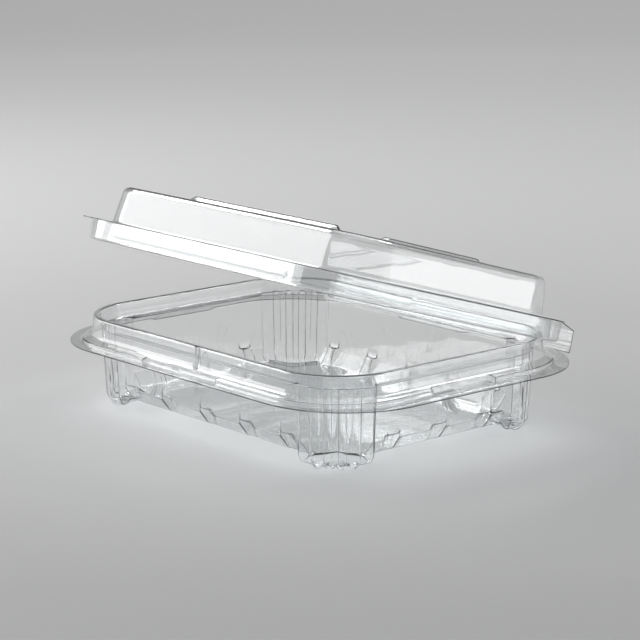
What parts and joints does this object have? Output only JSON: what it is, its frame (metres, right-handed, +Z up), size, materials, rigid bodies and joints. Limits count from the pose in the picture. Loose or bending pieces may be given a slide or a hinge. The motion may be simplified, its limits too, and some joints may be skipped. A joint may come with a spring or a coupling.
{
  "type": "plastic clamshell pack",
  "caption": "Clear thermoformed clamshell pack: a rectangular tray on fluted corner feet and a domed lid joined along one long side by a living hinge, shown ajar.",
  "frame": {"origin": "on the table under the middle of the pack's footprint, hinge included", "axes": "+X along the hinge, +Y towards the hinge side, +Z up"},
  "size_m": [0.228, 0.1784, 0.1086],
  "materials": {
    "clear_sheet": "clear glossy thermoformed PET sheet"
  },
  "bodies": {
    "tray": {"base_tray": "clear_sheet"},
    "cover": {"lid": "clear_sheet"}
  },
  "joints": [
    {"name": "lid_hinge", "type": "hinge", "parent": "tray", "child": "cover", "pos_m": [0, 0.08728, 0.03277], "axis": [-1, 0, 0], "range_deg": [-16.6, 161.7]}
  ]
}
